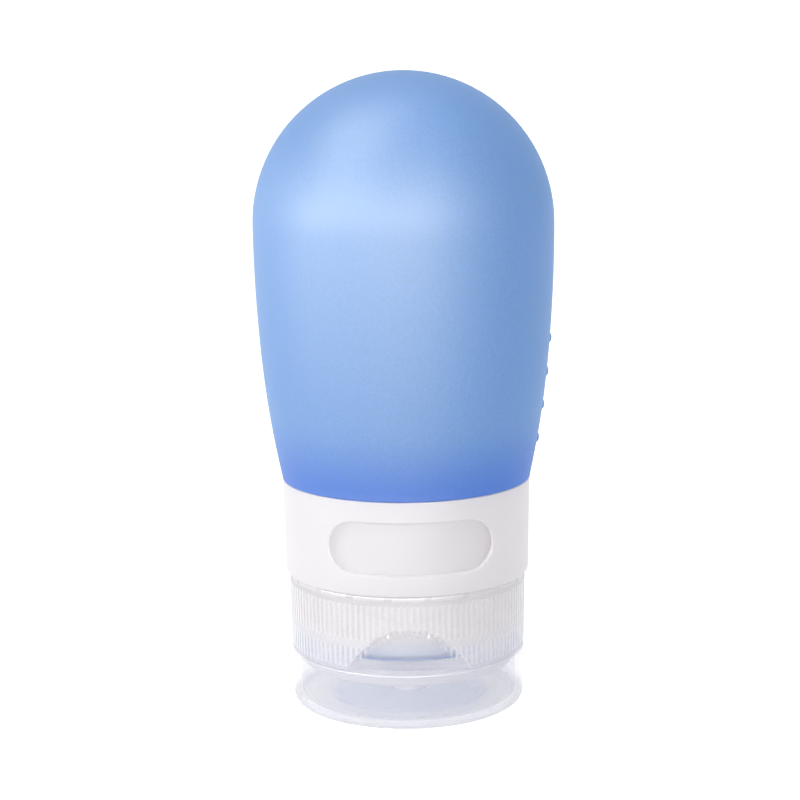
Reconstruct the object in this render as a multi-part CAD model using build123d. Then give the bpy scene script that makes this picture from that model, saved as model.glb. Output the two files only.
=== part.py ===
from build123d import *
import math
import os

# Travel squeeze bottle that stands upside down on its flip-top cap, in millimetres.
# Origin: centre of the lid's flat outer face, on the table. +Z runs up to the dome, -Y is the front,
# where the finger scoop and the window are, and the lid hinge is at the back (+Y).

# Whole bottle
bottle_height = 94.3
dome_r = 22.1
flank_upper_r = 220.0
flank_joint_share = 0.5372
fit_gap = 0.3
overrun = 2.0

# Silicone squeeze body
body_wall = 2.0
shoulder_thick = 2.9
neck_skin = 2.6
bead_height = 2.5
shoulder_reveal = 0.05

# Threaded neck ring
bore_r = 10.4
neck_wall = 1.4
neck_nose_step = 0.25
flange_thick = 1.8
flange_lap = 0.4
grip_length = 11.0
barb_height = 0.4
barb_length = 1.6
barb_count = 3
grip_skin_gap = 0.05

# Screw thread between neck ring and threaded insert
thread_pitch = 3.0
thread_depth = 0.7
thread_overlap = 0.4
thread_root_width = 1.4
thread_crest_width = 0.7
thread_sink = 0.3
thread_turns = 1.25
thread_step_deg = 15.0
thread_play = 0.25

# Threaded insert of the cap
insert_wall = 1.1
insert_floor = 1.1
insert_foot = 1.5
foot_lip = 0.65
foot_lip_height = 1.0
foot_play = 0.2
insert_rim_drop = 0.9
insert_rim_thick = 1.0
insert_rim_play = 0.1
spout_bore_r = 2.8
spout_wall = 0.9

# Cup gasket and slit valve
gasket_plate = 0.8
gasket_lip = 0.75
gasket_lip_height = 1.8
gasket_hole_r = 3.6
gasket_play = 0.2
valve_flange_r = 5.0
valve_flange_thick = 0.8
valve_web_thick = 0.4
valve_play = 0.1
slit_length = 4.4
slit_width = 0.2

# Cap base
deck_wall = 1.1
deck_thick = 1.1
deck_rise = 2.5
deck_edge_r = 0.5
skirt_height = 11.4
skirt_wall = 1.0
cap_flare = 0.2
scoop_height = 6.5
scoop_wall = 0.8
scoop_play = 0.25
rib_count = 120
rib_height = 0.4
rib_width = 0.45
rib_sink = 0.4
rib_foot = 0.6
lower_rib_length = 3.0
rib_band_gap = 1.2
upper_rib_length = 5.2
crown_count = 19
crown_depth = 0.6
crown_notch = 0.9
orifice_r = 1.8

# Flip lid and its living hinge
lid_height = 8.4
lid_wall = 1.3
lid_floor = 1.1
lid_play = 0.4
lid_edge_r = 1.4
lid_draft_step = 0.15
boss_r = 2.5
plug_r = 1.5
plug_reach = 0.7
hinge_width = 11.0
hinge_stand_out = 0.4
hinge_lug_height = 2.4
hinge_web_thick = 0.25

# Collar with its window, and the contents ring that shows in it
collar_height = 13.9
collar_wall = 1.0
collar_step = 0.5
collar_flare = 0.25
collar_edge = 0.35
collar_lip_thick = 1.0
ring_play = 0.25
ring_wall = 1.2
window_width = 24.0
window_height = 8.3
window_corner_r = 3.9
window_rise = 7.4
mark_r = 0.5
mark_depth = 0.3
mark_pitch = 2.0
mark_groups = 5

# Raised fill marks on the right of the silicone body
fill_mark_count = 4
fill_mark_rise = 5.4
fill_mark_step = 5.0
fill_mark_width = 4.0
fill_mark_bar = 0.9
fill_mark_height = 0.35

# Heights, from the table up
skirt_z = lid_height + fit_gap
deck_z = skirt_z - deck_rise
deck_in_z = deck_z + deck_thick
insert_floor_z = deck_in_z + insert_foot
gasket_z = insert_floor_z + insert_floor
mouth_z = gasket_z + gasket_plate
gasket_top_z = mouth_z + gasket_lip_height
skirt_top_z = skirt_z + skirt_height
insert_top_z = skirt_top_z - insert_rim_drop
collar_z = skirt_top_z + fit_gap
collar_top_z = collar_z + collar_height
flange_z = collar_z + fit_gap
flange_top_z = flange_z + flange_thick
shoulder_z = collar_top_z + fit_gap
grip_top_z = flange_top_z + grip_length
dome_z = bottle_height - dome_r
flank_joint_z = dome_z - flank_joint_share * (dome_z - shoulder_z)
thread_z = gasket_top_z + fit_gap + thread_root_width / 2

# Radii, from the bore out
neck_r = bore_r + neck_wall
thread_crest_r = neck_r + thread_depth
insert_in_r = thread_crest_r + thread_play
insert_crest_r = thread_crest_r - thread_overlap
insert_r = insert_in_r + insert_wall
foot_r = insert_r + foot_lip
deck_in_r = foot_r + foot_play
deck_r = deck_in_r + deck_wall
lid_in_r = deck_r + lid_play
cap_r = lid_in_r + lid_wall
cap_top_r = cap_r + cap_flare
skirt_in_r = cap_r - skirt_wall
rib_tip_r = skirt_in_r - rib_height
collar_r = cap_top_r + collar_step
collar_top_r = collar_r + collar_flare
collar_in_r = collar_r - collar_wall
ring_r = collar_in_r - ring_play
ring_in_r = ring_r - ring_wall
flange_r = ring_in_r + flange_lap
shoulder_r = collar_top_r + shoulder_reveal
skin_in_r = neck_r + barb_height + grip_skin_gap
hinge_y = cap_r + hinge_stand_out
hinge_z = lid_height + fit_gap / 2
front_deg = -90.0


def turned(points):
    """Solid of revolution about Z from a closed outline of (radius, height) points."""
    return revolve(Plane.XZ * make_face(Polyline(*points, close=True)), Axis.Z, 360)


def tube(inner_r, outer_r, low_z, high_z):
    """Plain ring between two radii and two heights."""
    return turned([(inner_r, low_z), (outer_r, low_z), (outer_r, high_z), (inner_r, high_z)])


def thread_ridge(root_r, crest_r, sink, start_deg):
    """Helical ridge of trapezoid section, run out at both ends, as a loft through radial sections."""
    step_count = round(thread_turns * 360 / thread_step_deg)
    sections = []
    for step in range(step_count + 1):
        angle = start_deg + step * thread_step_deg
        centre_z = thread_z + thread_pitch * step * thread_step_deg / 360
        run_out_share = min(1.0, (step + 1) / 3, (step_count - step + 1) / 3)
        top_r = root_r + (crest_r - root_r) * run_out_share
        half_root = thread_root_width / 2
        half_crest = half_root + (thread_crest_width / 2 - half_root) * run_out_share
        outline = [
            (sink, centre_z - half_root),
            (root_r, centre_z - half_root),
            (top_r, centre_z - half_crest),
            (top_r, centre_z + half_crest),
            (root_r, centre_z + half_root),
            (sink, centre_z + half_root),
        ]
        face = Plane.XZ * make_face(Polyline(*outline, close=True))
        sections.append(Rot(0, 0, angle) * face)
    return loft(sections, ruled=True)


def flank_upper(z):
    """Outer radius of the flank's upper arc, which meets the dome without a crease."""
    return dome_r - flank_upper_r + math.sqrt(flank_upper_r**2 - (dome_z - z) ** 2)


def flank_lower_arc():
    """Centre and radius of the lower arc: tangent to the upper one, and through the shoulder.

    The radius is negative where the flank has to bend outward to reach the shoulder.
    """
    joint_r = flank_upper(flank_joint_z)
    normal = (joint_r - (dome_r - flank_upper_r), flank_joint_z - dome_z)
    size = math.hypot(*normal)
    unit = (normal[0] / size, normal[1] / size)
    chord = (shoulder_r - joint_r, shoulder_z - flank_joint_z)
    inward = -(chord[0] * unit[0] + chord[1] * unit[1])
    radius = (chord[0] ** 2 + chord[1] ** 2) / (2 * inward)
    return (joint_r - unit[0] * radius, flank_joint_z - unit[1] * radius), radius


def body_radius(z):
    """Outer radius of the silicone body's flank at a height between the shoulder and the dome."""
    if z >= flank_joint_z:
        return flank_upper(z)
    centre, radius = flank_lower_arc()
    return centre[0] + math.copysign(math.sqrt(radius**2 - (z - centre[1]) ** 2), radius)


def flank_edges(low_z, inset):
    """The two flank arcs from low_z up to the dome's equator, moved inward by inset."""
    def at(z):
        return (body_radius(z) - inset, z)

    lower = ThreePointArc(at(low_z), at((low_z + flank_joint_z) / 2), at(flank_joint_z))
    upper = ThreePointArc(at(flank_joint_z), at((flank_joint_z + dome_z) / 2), at(dome_z))
    return [lower, upper]


def dome_edge(radius):
    """Quarter circle from the dome's equator to its crown."""
    part = radius * math.sqrt(0.5)
    return ThreePointArc((radius, dome_z), (part, dome_z + part), (0, dome_z + radius))


def silicone_body():
    inner_low_z = shoulder_z + shoulder_thick
    neck_out_r = skin_in_r + neck_skin
    bead_z = flange_top_z + bead_height
    inner_dome_r = dome_r - body_wall
    outline = [
        Polyline(
            (skin_in_r, flange_top_z),
            (ring_in_r, flange_top_z),
            (ring_in_r, bead_z),
            (neck_out_r, bead_z + bead_height / 2),
            (neck_out_r, shoulder_z),
            (shoulder_r, shoulder_z),
        ),
        *flank_edges(shoulder_z, 0),
        dome_edge(dome_r),
        Line((0, bottle_height), (0, dome_z + inner_dome_r)),
        dome_edge(inner_dome_r),
        *flank_edges(inner_low_z, body_wall),
        Polyline(
            (body_radius(inner_low_z) - body_wall, inner_low_z),
            (skin_in_r, grip_top_z + fit_gap),
            (skin_in_r, flange_top_z),
        ),
    ]
    body = revolve(Plane.XZ * make_face(outline), Axis.Z, 360)
    for mark in range(fill_mark_count):
        body += fill_mark(shoulder_z + fill_mark_rise + mark * fill_mark_step)
    return body


def fill_mark(z):
    """Short raised bar that follows the body's right side."""
    reach = body_radius(z) + fill_mark_height
    half_bar = fill_mark_bar / 2
    bar = tube(reach - body_wall / 2 - fill_mark_height, reach, z - half_bar, z + half_bar)
    slab = Pos(dome_r, 0, z) * Box(2 * dome_r, fill_mark_width, fill_mark_bar * 2)
    return bar & slab


def neck_ring():
    nose_r = neck_r - neck_nose_step
    ring = turned([
        (bore_r, mouth_z),
        (nose_r, mouth_z),
        (nose_r, gasket_top_z),
        (neck_r, gasket_top_z + neck_nose_step),
        (neck_r, flange_z),
        (flange_r, flange_z),
        (flange_r, flange_top_z),
        (neck_r, flange_top_z),
        (neck_r, grip_top_z),
        (bore_r, grip_top_z),
    ])
    ring += thread_ridge(neck_r, thread_crest_r, neck_r - thread_sink, 0)
    pitch = grip_length / (barb_count + 1)
    for barb in range(barb_count):
        z = flange_top_z + pitch * (barb + 1)
        half = barb_length / 2
        ring += turned([
            (neck_r - thread_sink, z - half),
            (neck_r, z - half),
            (neck_r + barb_height, z - half),
            (neck_r, z + half),
            (neck_r - thread_sink, z + half),
        ])
    return ring


def contents_ring():
    """Fixed ring under the collar: groups of one to five sunk dots come to the window in turn."""
    ring = tube(ring_in_r, ring_r, flange_top_z, shoulder_z)
    window_z = collar_z + window_rise
    dot = Cylinder(mark_r, 2 * mark_depth, rotation=(90, 0, 0))
    pitch_deg = math.degrees(mark_pitch / ring_r)
    dots = []
    for group in range(1, mark_groups + 1):
        centre_deg = front_deg + group * 360 / (mark_groups + 1)
        for place in range(group):
            angle = centre_deg + (place - (group - 1) / 2) * pitch_deg
            dots.append(Pos(0, 0, window_z) * Rot(0, 0, angle - front_deg) * Pos(0, -ring_r, 0) * dot)
    return ring - dots


def collar():
    lip_r = flange_r + fit_gap
    shell = turned([
        (lip_r, collar_z),
        (collar_r - collar_edge, collar_z),
        (collar_r, collar_z + collar_edge),
        (collar_top_r, collar_top_z - collar_edge),
        (collar_top_r - collar_edge, collar_top_z),
        (collar_in_r, collar_top_z),
        (collar_in_r, collar_z + collar_lip_thick),
        (lip_r, collar_z + collar_lip_thick),
    ])
    window = Plane.XZ * RectangleRounded(window_width, window_height, window_corner_r)
    cutter = extrude(Pos(0, -collar_in_r / 2, collar_z + window_rise) * window, collar_r)
    return shell - cutter


def skirt_ribs(low_z, length):
    """Band of fine upright ribs inside the skirt, as one ring with a toothed bore."""
    half = math.degrees(rib_width / (2 * skirt_in_r))
    bore = []
    for rib in range(rib_count):
        centre = rib * 360 / rib_count
        for angle, radius in (
            (centre - half, skirt_in_r + rib_sink / 2),
            (centre - half / 2, rib_tip_r),
            (centre + half / 2, rib_tip_r),
            (centre + half, skirt_in_r + rib_sink / 2),
        ):
            turn = math.radians(angle)
            bore.append((radius * math.cos(turn), radius * math.sin(turn)))
    band = Circle(skirt_in_r + rib_sink) - make_face(Polyline(*bore, close=True))
    return extrude(Pos(0, 0, low_z) * band, length)


def scoop_prism(inset, low_z):
    """All that lies in front of the scoop's slanted face, moved in by inset and cut off at low_z."""
    face_y = inset - insert_r - scoop_play - scoop_wall
    high_z = skirt_z + scoop_height
    outline = [(face_y, low_z)] if low_z < skirt_z else []
    outline += [
        (face_y, skirt_z),
        (inset - cap_r, high_z),
        (-cap_r - overrun, high_z),
        (-cap_r - overrun, low_z),
    ]
    side = Plane.YZ * make_face(Polyline(*outline, close=True))
    return extrude(side, cap_r, both=True)


def cap_base():
    shoulder_in_z = skirt_z + deck_thick
    shell = turned([
        (orifice_r, deck_z),
        (deck_r - deck_edge_r, deck_z),
        (deck_r, deck_z + deck_edge_r),
        (deck_r, skirt_z),
        (cap_r, skirt_z),
        (cap_top_r, skirt_top_z),
        (cap_top_r - skirt_wall, skirt_top_z),
        (skirt_in_r, shoulder_in_z),
        (deck_in_r, shoulder_in_z),
        (deck_in_r, deck_in_z),
        (orifice_r, deck_in_z),
    ])
    rib_low_z = skirt_z + rib_foot
    rib_mid_z = rib_low_z + lower_rib_length + rib_band_gap
    shell += skirt_ribs(rib_low_z, lower_rib_length)
    shell += skirt_ribs(rib_mid_z, upper_rib_length)
    backing_z = deck_in_z + foot_lip_height
    room = turned([
        (0, backing_z),
        (deck_r - deck_wall / 2, backing_z),
        (deck_r - deck_wall / 2, skirt_z),
        (cap_r - skirt_wall / 2, skirt_z),
        (cap_top_r - skirt_wall / 2, skirt_top_z),
        (0, skirt_top_z),
    ])
    shell += scoop_prism(scoop_wall, backing_z) & room
    shell -= scoop_prism(0, skirt_z)
    notch = Box(2 * skirt_wall + overrun, crown_notch, 2 * crown_depth)
    notches = [
        Rot(0, 0, front_deg + (place + 0.5) * 360 / crown_count) * Pos(cap_top_r, 0, skirt_top_z) * notch
        for place in range(crown_count)
    ]
    shell -= notches
    return shell + hinge_lug(skirt_z, skirt_z + hinge_lug_height)


def hinge_lug(low_z, high_z):
    """Block on the back of the cap or the lid; its outer face holds the hinge line."""
    depth = skirt_wall / 2 + hinge_stand_out
    block = Pos(0, hinge_y - depth / 2, (low_z + high_z) / 2) * Box(hinge_width, depth, high_z - low_z)
    return block


def threaded_insert():
    seat_r = valve_flange_r + valve_play
    spout_r = spout_bore_r + spout_wall
    rim_r = rib_tip_r - insert_rim_play
    body = turned([
        (spout_bore_r, deck_in_z),
        (spout_r, deck_in_z),
        (spout_r, insert_floor_z),
        (insert_in_r, insert_floor_z),
        (insert_in_r, deck_in_z),
        (foot_r, deck_in_z),
        (foot_r, deck_in_z + foot_lip_height),
        (insert_r, deck_in_z + foot_lip_height),
        (insert_r, insert_top_z - insert_rim_thick),
        (rim_r, insert_top_z - insert_rim_thick),
        (rim_r, insert_top_z),
        (insert_in_r, insert_top_z),
        (insert_in_r, gasket_z),
        (seat_r, gasket_z),
        (seat_r, gasket_z - valve_flange_thick),
        (spout_bore_r, gasket_z - valve_flange_thick),
    ])
    return body + thread_ridge(insert_in_r, insert_crest_r, insert_in_r + thread_sink, 180)


def cup_gasket():
    outer_r = insert_in_r - gasket_play
    lip_in_r = outer_r - gasket_lip
    return turned([
        (gasket_hole_r, gasket_z),
        (outer_r, gasket_z),
        (outer_r, gasket_top_z),
        (lip_in_r, gasket_top_z),
        (lip_in_r, mouth_z),
        (gasket_hole_r, mouth_z),
    ])


def slit_valve():
    low_z = gasket_z - valve_flange_thick
    web_in_r = spout_bore_r
    valve = turned([
        (0, low_z),
        (valve_flange_r, low_z),
        (valve_flange_r, gasket_z),
        (web_in_r, gasket_z),
        (web_in_r, low_z + valve_web_thick),
        (0, low_z + valve_web_thick),
    ])
    slit = Pos(0, 0, low_z) * Box(slit_length, slit_width, 4 * valve_web_thick)
    return valve - slit - Rot(0, 0, 90) * slit


def flip_lid():
    low_r = cap_r - lid_draft_step
    edge = lid_edge_r
    bend = edge * math.sqrt(0.5)
    inner_edge = max(edge - lid_floor, lid_floor / 2)
    outline = [
        Line((0, 0), (low_r - edge, 0)),
        ThreePointArc((low_r - edge, 0), (low_r - edge + bend, edge - bend), (low_r, edge)),
        Polyline(
            (low_r, edge),
            (cap_r, lid_height),
            (lid_in_r, lid_height),
            (lid_in_r - lid_draft_step, lid_floor + inner_edge),
            (lid_in_r - lid_draft_step - inner_edge, lid_floor),
            (boss_r, lid_floor),
            (boss_r, deck_z - fit_gap),
            (plug_r, deck_z - fit_gap),
            (plug_r, deck_z + plug_reach / 2),
            (plug_r / 2, deck_z + plug_reach),
            (0, deck_z + plug_reach),
            (0, 0),
        ),
    ]
    lid = revolve(Plane.XZ * make_face(outline), Axis.Z, 360)
    return lid + hinge_lug(lid_height - hinge_lug_height, lid_height)


def hinge_web():
    """Thin strip on the hinge line, where the cap's and the lid's lugs meet."""
    return Pos(0, hinge_y - hinge_web_thick / 2, hinge_z) * Box(hinge_width, hinge_web_thick, fit_gap)


pieces = {
    "silicone_body": silicone_body(),
    "neck_ring": neck_ring(),
    "contents_ring": contents_ring(),
    "collar": collar(),
    "cap_base": cap_base(),
    "threaded_insert": threaded_insert(),
    "cup_gasket": cup_gasket(),
    "slit_valve": slit_valve(),
    "flip_lid": flip_lid(),
    "hinge_web": hinge_web(),
}

os.makedirs("parts", exist_ok=True)
for name, shape in pieces.items():
    export_step(shape, f"parts/{name}.step")
    print(name, len(shape.solids()), round(shape.volume, 1))
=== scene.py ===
"""Looks of a travel squeeze bottle that stands upside down on its flip-top cap.

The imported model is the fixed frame. Lengths below are in millimetres and become metres in the meshes.
Angles round the bottle are counted from its front (-Y), in degrees, positive towards +X.
"""
import logging
import math
from abc import ABC, abstractmethod
from dataclasses import dataclass, field
from enum import Enum
from functools import cache
from typing import NamedTuple

import bmesh
import bpy
import numpy as np
from mathutils import Matrix, Vector


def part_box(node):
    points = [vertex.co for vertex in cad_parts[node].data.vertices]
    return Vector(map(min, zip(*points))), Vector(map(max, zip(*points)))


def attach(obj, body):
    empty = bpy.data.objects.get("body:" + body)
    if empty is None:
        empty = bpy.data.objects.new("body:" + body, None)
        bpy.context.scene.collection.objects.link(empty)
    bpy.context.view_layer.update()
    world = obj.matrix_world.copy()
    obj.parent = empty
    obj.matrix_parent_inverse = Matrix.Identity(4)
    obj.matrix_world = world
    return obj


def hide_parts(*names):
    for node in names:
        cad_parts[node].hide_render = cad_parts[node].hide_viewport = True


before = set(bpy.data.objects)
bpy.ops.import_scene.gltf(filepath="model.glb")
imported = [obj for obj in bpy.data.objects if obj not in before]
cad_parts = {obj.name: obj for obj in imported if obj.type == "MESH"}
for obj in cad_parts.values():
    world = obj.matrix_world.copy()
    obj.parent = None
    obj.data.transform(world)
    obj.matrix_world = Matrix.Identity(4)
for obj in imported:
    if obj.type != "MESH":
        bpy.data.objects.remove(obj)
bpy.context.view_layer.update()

LOG = logging.getLogger("bottle")
MM = 0.001
CREASE = 32.0
NOISE_SPREAD = {"From Min": 0.3, "From Max": 0.7}
LIGHT_RAYS = ("Is Shadow Ray", "Is Diffuse Ray")
SEEN_RAYS = ("Is Camera Ray", "Is Glossy Ray", "Is Transmission Ray")
Rgba = tuple[float, float, float, float]
Outline = list[tuple[float, float]]
Tree = bpy.types.NodeTree
Socket = bpy.types.NodeSocket
Piece = bpy.types.Object


class Slot(Enum):
    """The record's material slots, named beside each piece's finish."""

    SILICONE = "blue_silicone"
    SEAL = "blue_silicone_seal"
    VALVE = "clear_silicone"
    WHITE = "white_pp"
    NATURAL = "natural_pp"
    FROSTED = "frosted_pp"


class Body(Enum):
    """The bodies that the pieces move with."""

    BOTTLE = "bottle"
    COLLAR = "collar"
    GASKET = "gasket"
    CAP = "cap"
    LID = "lid"


def linear(code: str) -> Rgba:
    """Turns an sRGB hex colour into the linear values that a shader takes.

    Args:
        code: Colour as "#RRGGBB".

    Returns:
        Linear red, green and blue, and an alpha of one.
    """
    shares = [int(code[i:i + 2], 16) / 255 for i in (1, 3, 5)]
    red, green, blue = (s / 12.92 if s <= 0.04045 else ((s + 0.055) / 1.055) ** 2.4 for s in shares)
    return red, green, blue, 1.0


def add_node(tree: Tree, kind: str, settings: dict | None = None,
             links: dict | None = None) -> bpy.types.Node:
    """Adds a node with its settings and links.

    Args:
        tree: Node tree that gets the node.
        kind: Type name of the node, without the ShaderNode that all begin with.
        settings: Values by input name or number, or by the node's own property.
        links: Sockets that feed the inputs, by input name or number.

    Returns:
        The new node.
    """
    node = tree.nodes.new("ShaderNode" + kind)
    for key, value in (settings or {}).items():
        if isinstance(key, int) or key in node.inputs:
            node.inputs[key].default_value = value
        else:
            setattr(node, key, value)
    for key, socket in (links or {}).items():
        tree.links.new(socket, node.inputs[key])
    return node


def smooth_step(value: np.ndarray, low: float, high: float) -> np.ndarray:
    """Rises smoothly from 0 at low to 1 at high.

    Args:
        value: Places to work it out at.
        low: Where it leaves 0.
        high: Where it reaches 1.

    Returns:
        The smooth share at each place.
    """
    share = np.clip((value - low) / (high - low), 0.0, 1.0)
    return share * share * (3 - 2 * share)


def turn(angle: float) -> Vector:
    """Unit direction at an angle round the bottle, from the front towards +X."""
    return Vector((math.sin(math.radians(angle)), -math.cos(math.radians(angle)), 0.0))


def rounded(corners: list[tuple[float, ...]], steps: int = 4, closed: bool = False) -> Outline:
    """Rounds the corners of an outline with arcs.

    Args:
        corners: Points (radius, height) or (radius, height, fillet radius), in millimetres.
        steps: Segments of each arc.
        closed: Whether the last corner joins the first.

    Returns:
        The outline's points with the arcs in place.
    """
    points: Outline = []
    last = len(corners) - 1
    for index, corner in enumerate(corners):
        here = Vector(corner[:2])
        fillet = corner[2] if len(corner) > 2 else 0.0
        if fillet == 0.0 or (not closed and index in (0, last)):
            points.append(tuple(here))
            continue
        back = (Vector(corners[index - 1][:2]) - here).normalized()
        ahead = (Vector(corners[(index + 1) % len(corners)][:2]) - here).normalized()
        half = back.angle(ahead) / 2
        centre = here + (back + ahead).normalized() * fillet / math.sin(half)
        first = here + back * fillet / math.tan(half) - centre
        final = here + ahead * fillet / math.tan(half) - centre
        sweep = first.angle_signed(final)
        for step in range(steps + 1):
            arm = first.copy()
            arm.rotate(Matrix.Rotation(-sweep * step / steps, 2))
            points.append(tuple(centre + arm))
    return points


def arc_points(centre: tuple[float, float], radius: float, start: float, end: float, steps: int) -> Outline:
    """Points of an arc in the outline's plane.

    Args:
        centre: Centre (radius, height) of the arc.
        radius: Its radius.
        start: First angle in degrees, from the outward direction upward.
        end: Last angle.
        steps: Segments between them.

    Returns:
        The arc's points, both ends among them.
    """
    angles = np.radians(np.linspace(start, end, steps + 1))
    return [(centre[0] + radius * math.cos(a), centre[1] + radius * math.sin(a)) for a in angles]


@dataclass
class PolarMesh:
    """A closed mesh of rings round the bottle's axis, one ring for each point of an outline.

    Its arrays hold a value for each point, rings by columns: angle in degrees, radius and height in
    millimetres. The first and last rings of a capped mesh close on the axis. Without caps the outline is a
    loop.
    """

    angle: np.ndarray
    radius: np.ndarray
    height: np.ndarray
    capped: bool
    marks: dict[str, np.ndarray] = field(default_factory=dict)

    @classmethod
    def turned(cls, outline: Outline, columns: np.ndarray, capped: bool) -> "PolarMesh":
        """Makes the rings of a plain solid of revolution.

        Args:
            outline: Points (radius, height) of the outline.
            columns: Angles of the columns in degrees.
            capped: True where the outline starts and ends on the axis.

        Returns:
            The grid.
        """
        points = np.array(outline)
        shape = (len(points), len(columns))
        angle = np.broadcast_to(columns, shape).copy()
        radius = np.broadcast_to(points[:, :1], shape).copy()
        height = np.broadcast_to(points[:, 1:], shape).copy()
        return cls(angle, radius, height, capped)

    def mesh(self, name: str, crease: float = CREASE) -> bpy.types.Mesh:
        """Builds the mesh, smooth but for its sharp edges.

        Args:
            name: Name of the mesh.
            crease: Angle between faces, in degrees, over which their edge stays sharp.

        Returns:
            The mesh in metres, with a point attribute for each of the marks.
        """
        rings, columns = self.radius.shape
        turn_by = np.radians(self.angle)
        grid = np.stack([self.radius * np.sin(turn_by), -self.radius * np.cos(turn_by), self.height], -1) * MM
        first, last = (1, rings - 1) if self.capped else (0, rings)
        points = grid[first:last].reshape(-1, 3)
        count = last - first
        index = np.arange(count * columns).reshape(count, columns)
        below = index[:-1] if self.capped else index
        above = index[1:] if self.capped else np.roll(index, -1, 0)
        quads = np.stack([below, np.roll(below, -1, 1), np.roll(above, -1, 1), above], -1).reshape(-1, 4)
        faces = quads.tolist()
        if self.capped:
            points = np.vstack([points, grid[0].mean(0), grid[-1].mean(0)])
            for ring, pole in ((index[0], count * columns), (index[-1], count * columns + 1)):
                for column in range(columns):
                    faces.append([int(ring[column]), int(ring[(column + 1) % columns]), pole])
        made = bpy.data.meshes.new(name)
        made.from_pydata(points.tolist(), [], faces)
        for mark, values in self.marks.items():
            flat = values[first:last].reshape(-1)
            flat = np.append(flat, [values[0].mean(), values[-1].mean()]) if self.capped else flat
            layer = made.attributes.new(mark, "FLOAT", "POINT")
            layer.data.foreach_set("value", flat.astype(np.float32))
        finish_normals(made, crease)
        return made


def finish_normals(mesh: bpy.types.Mesh, crease: float) -> None:
    """Turns all faces outward and keeps the edges over the crease angle sharp.

    Args:
        mesh: Closed mesh to go over.
        crease: Angle between faces in degrees.
    """
    work = bmesh.new()
    work.from_mesh(mesh)
    bmesh.ops.recalc_face_normals(work, faces=work.faces)
    limit = math.radians(crease)
    for face in work.faces:
        face.smooth = True
    for edge in work.edges:
        edge.smooth = len(edge.link_faces) == 2 and edge.calc_face_angle(0.0) < limit
    work.to_mesh(mesh)
    work.free()


def new_object(name: str, mesh: bpy.types.Mesh) -> Piece:
    """Links a new object that holds a mesh.

    Args:
        name: Name of the object.
        mesh: Its mesh.

    Returns:
        The object.
    """
    made = bpy.data.objects.new(name, mesh)
    bpy.context.scene.collection.objects.link(made)
    return made


def combine(target: Piece, tool: Piece, operation: str, crease: float = CREASE) -> None:
    """Cuts or joins one closed mesh with another and removes the tool.

    Args:
        target: Object whose mesh changes.
        tool: Object that cuts it or is added to it.
        operation: DIFFERENCE or UNION.
        crease: Angle between faces over which an edge stays sharp.
    """
    modifier = target.modifiers.new(operation.lower(), "BOOLEAN")
    modifier.operation = operation
    modifier.solver = "EXACT"
    modifier.object = tool
    bpy.context.view_layer.update()
    evaluated = target.evaluated_get(bpy.context.evaluated_depsgraph_get())
    mesh = bpy.data.meshes.new_from_object(evaluated)
    target.modifiers.clear()
    mesh.name = target.data.name
    target.data = mesh
    bpy.data.objects.remove(tool)
    finish_normals(mesh, crease)


def rounded_block(low: Vector, high: Vector, edge: float) -> Piece:
    """Makes a block with rounded edges.

    Args:
        low: Lowest corner in millimetres.
        high: Highest corner.
        edge: Radius of its edges.

    Returns:
        The block as a new object.
    """
    work = bmesh.new()
    bmesh.ops.create_cube(work, size=1.0)
    for vert in work.verts:
        vert.co = Vector(b if c > 0 else a for a, b, c in zip(low, high, vert.co)) * MM
    bmesh.ops.bevel(work, geom=work.edges[:], offset=edge * MM, segments=3, profile=0.5, affect="EDGES")
    mesh = bpy.data.meshes.new("block")
    work.to_mesh(mesh)
    work.free()
    return new_object("block", mesh)


def ray_is(tree: Tree, kinds: tuple[str, ...]) -> Socket:
    """Tells whether a ray is of one of some kinds.

    Args:
        tree: Node tree of the material or the world.
        kinds: The light path's outputs that count.

    Returns:
        Socket that is one for such a ray and nothing for any other.
    """
    path = add_node(tree, "LightPath").outputs
    found = path[kinds[0]]
    for kind in kinds[1:]:
        found = add_node(tree, "Math", {"operation": "MAXIMUM"}, {0: found, 1: path[kind]}).outputs[0]
    return found


def height_step(tree: Tree, place: Socket, start: float, end: float) -> Socket:
    """Share that changes smoothly with the height on a piece.

    Args:
        tree: Node tree of the material.
        place: Socket of the place on the piece.
        start: Height in millimetres at which the share is nothing.
        end: Height at which it is one, above or below the start.

    Returns:
        Socket of the share.
    """
    height = add_node(tree, "SeparateXYZ", links={"Vector": place}).outputs["Z"]
    return add_node(tree, "MapRange", {"interpolation_type": "SMOOTHSTEP", "From Min": start * MM,
                                       "From Max": end * MM}, {"Value": height}).outputs["Result"]


def toned(tree: Tree, colour: Socket | Rgba, pattern: Socket, tones: tuple[float, float]) -> Socket:
    """Makes a colour lighter and darker along a noise pattern.

    Args:
        tree: Node tree of the material.
        colour: Socket of the colour, or the colour itself.
        pattern: Socket of the noise.
        tones: Least and most that the colour is multiplied by.

    Returns:
        Socket of the toned colour.
    """
    tone = add_node(tree, "MapRange", {**NOISE_SPREAD, "To Min": tones[0], "To Max": tones[1]},
                    {"Value": pattern}).outputs["Result"]
    fixed, fed = ({0: colour[:3]}, {}) if isinstance(colour, tuple) else ({}, {0: colour})
    return add_node(tree, "VectorMath", {"operation": "SCALE", **fixed}, {"Scale": tone, **fed}).outputs[0]


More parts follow.
